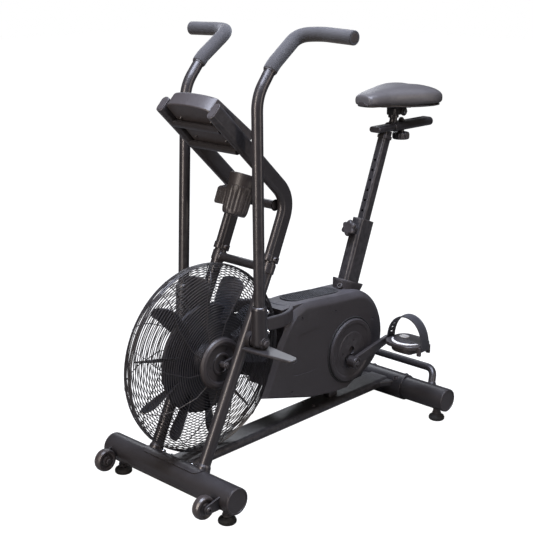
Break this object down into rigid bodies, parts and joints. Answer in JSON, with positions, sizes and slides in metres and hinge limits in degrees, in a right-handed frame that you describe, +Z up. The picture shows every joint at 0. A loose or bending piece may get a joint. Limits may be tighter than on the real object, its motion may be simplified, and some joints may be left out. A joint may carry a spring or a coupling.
{
  "type": "air bike",
  "caption": "Upright exercise bike with a fan in a wire guard, belt drive, swinging handles, adjustable saddle, console, bottle cup and transport wheels.",
  "frame": {"origin": "on the floor, under the middle of the bike's bounding box", "axes": "+Z up; the fan end points to -X; the rider's left side is -Y"},
  "size_m": [1.324, 0.6814, 1.326],
  "materials": {
    "frame_paint": "charcoal satin powder coat",
    "handle_paint": "charcoal satin powder coat",
    "crank_paint": "dark satin paint",
    "axle_steel": "turned steel",
    "guard_wire": "black powder coat",
    "fan_blade": "black sheet",
    "cover_plastic": "fine-grained black plastic",
    "trim_plastic": "satin black plastic",
    "belt_rubber": "matt",
    "foot_rubber": "matt",
    "wheel_plastic": "hard black plastic",
    "grip_foam": "closed-cell foam",
    "saddle_vinyl": "satin grey vinyl",
    "screen_glass": "dark clear window",
    "button_plastic": "light plastic",
    "strap_rubber": "ribbed strap"
  },
  "bodies": {
    "frame": {"front_stabiliser": "frame_paint", "rear_stabiliser": "frame_paint", "main_rail": "frame_paint", "lift_handle": "frame_paint", "fork_tube_left": "frame_paint", "fork_tube_right": "frame_paint", "fork_brace": "frame_paint", "mast_left": "frame_paint", "mast_right": "frame_paint", "mast_cross_tube": "frame_paint", "seat_tube": "frame_paint", "wheel_bracket_left": "frame_paint", "wheel_bracket_right": "frame_paint", "guard_left": "guard_wire", "guard_right": "guard_wire", "hub_cover": "trim_plastic", "fan_axle": "axle_steel", "drive_belt": "belt_rubber", "cover_left": "cover_plastic", "cover_right": "cover_plastic", "belt_guard": "cover_plastic", "crank_cover": "cover_plastic", "shroud_arm_left": "cover_plastic", "shroud_arm_right": "cover_plastic", "seat_collar": "cover_plastic", "foot_peg_left": "frame_paint", "foot_peg_right": "frame_paint", "console_housing": "trim_plastic", "console_screen": "screen_glass", "bottle_holder": "trim_plastic"},
    "crank": {"crank_axle": "axle_steel", "drive_pulley": "fan_blade", "crank_arm_left": "crank_paint", "crank_arm_right": "crank_paint"},
    "fan": {"fan_wheel": "fan_blade", "fan_pulley": "axle_steel"},
    "pedal_left": {"pedal_left": "trim_plastic", "pedal_strap_left": "strap_rubber"},
    "pedal_right": {"pedal_right": "trim_plastic", "pedal_strap_right": "strap_rubber"},
    "handle_left": {"lever_left": "handle_paint", "grip_left": "grip_foam", "lever_socket_left": "handle_paint"},
    "handle_right": {"lever_right": "handle_paint", "grip_right": "grip_foam", "lever_socket_right": "handle_paint"},
    "seat_post": {"seat_post": "frame_paint", "seat_rail": "frame_paint"},
    "seat_slider": {"seat_slider": "frame_paint", "saddle_clamp": "axle_steel", "saddle": "saddle_vinyl"},
    "clamp_knob": {"clamp_knob": "trim_plastic"},
    "pull_pin": {"pull_pin": "trim_plastic"},
    "wheel_left": {"transport_wheel_left": "wheel_plastic"},
    "wheel_right": {"transport_wheel_right": "wheel_plastic"},
    "foot_front_left": {"foot_front_left": "foot_rubber"},
    "foot_front_right": {"foot_front_right": "foot_rubber"},
    "foot_rear_left": {"foot_rear_left": "foot_rubber"},
    "foot_rear_right": {"foot_rear_right": "foot_rubber"},
    "console_button": {"console_button": "button_plastic"}
  },
  "joints": [
    {"name": "crank_spin", "type": "hinge", "parent": "frame", "child": "crank", "pos_m": [0.179, 0, 0.249], "axis": [0, 1, 0], "continuous": true},
    {"name": "fan_spin", "type": "hinge", "parent": "frame", "child": "fan", "pos_m": [-0.384, 0, 0.391], "axis": [0, 1, 0], "continuous": true},
    {"name": "pedal_left_spin", "type": "hinge", "parent": "crank", "child": "pedal_left", "pos_m": [0.34497, -0.174, 0.28579], "axis": [0, 1, 0], "continuous": true},
    {"name": "pedal_right_spin", "type": "hinge", "parent": "crank", "child": "pedal_right", "pos_m": [0.01303, 0.174, 0.21221], "axis": [0, 1, 0], "continuous": true},
    {"name": "handle_left_swing", "type": "hinge", "parent": "frame", "child": "handle_left", "pos_m": [-0.318, -0.16, 0.462], "axis": [0, 1, 0], "range_deg": [-10, 13]},
    {"name": "handle_right_swing", "type": "hinge", "parent": "frame", "child": "handle_right", "pos_m": [-0.318, 0.16, 0.462], "axis": [0, 1, 0], "range_deg": [-13, 10]},
    {"name": "post_slide", "type": "slide", "parent": "frame", "child": "seat_post", "axis": [0.3552, 0, 0.9348], "range_m": [-0.2359, 0.0674]},
    {"name": "slider_slide", "type": "slide", "parent": "seat_post", "child": "seat_slider", "axis": [1, 0, 0], "range_m": [0, 0.06]},
    {"name": "clamp_knob_turn", "type": "hinge", "parent": "seat_slider", "child": "clamp_knob", "pos_m": [0.518, 0, 0.964], "axis": [0, 0, 1], "continuous": true},
    {"name": "pull_pin_slide", "type": "slide", "parent": "frame", "child": "pull_pin", "axis": [-0.9348, 0, 0.3552], "range_m": [0, 0.012], "stiffness_N_per_m": 900, "springref_m": -0.004},
    {"name": "wheel_left_spin", "type": "hinge", "parent": "frame", "child": "wheel_left", "pos_m": [-0.5925, -0.212, 0.07], "axis": [0, 1, 0], "continuous": true},
    {"name": "wheel_right_spin", "type": "hinge", "parent": "frame", "child": "wheel_right", "pos_m": [-0.5925, 0.212, 0.07], "axis": [0, 1, 0], "continuous": true},
    {"name": "foot_front_left_screw", "type": "slide", "parent": "frame", "child": "foot_front_left", "axis": [0, 0, -1], "range_m": [0, 0.015]},
    {"name": "foot_front_right_screw", "type": "slide", "parent": "frame", "child": "foot_front_right", "axis": [0, 0, -1], "range_m": [0, 0.015]},
    {"name": "foot_rear_left_screw", "type": "slide", "parent": "frame", "child": "foot_rear_left", "axis": [0, 0, -1], "range_m": [0, 0.015]},
    {"name": "foot_rear_right_screw", "type": "slide", "parent": "frame", "child": "foot_rear_right", "axis": [0, 0, -1], "range_m": [0, 0.015]},
    {"name": "button_press", "type": "slide", "parent": "frame", "child": "console_button", "axis": [-0.719, 0, -0.695], "range_m": [0, 0.0012], "stiffness_N_per_m": 600, "springref_m": -0.0002}
  ],
  "couplings": [
    {"joint": "fan_spin", "follows": "crank_spin", "ratio": 4.5455},
    {"joint": "handle_right_swing", "follows": "handle_left_swing", "ratio": -1}
  ]
}
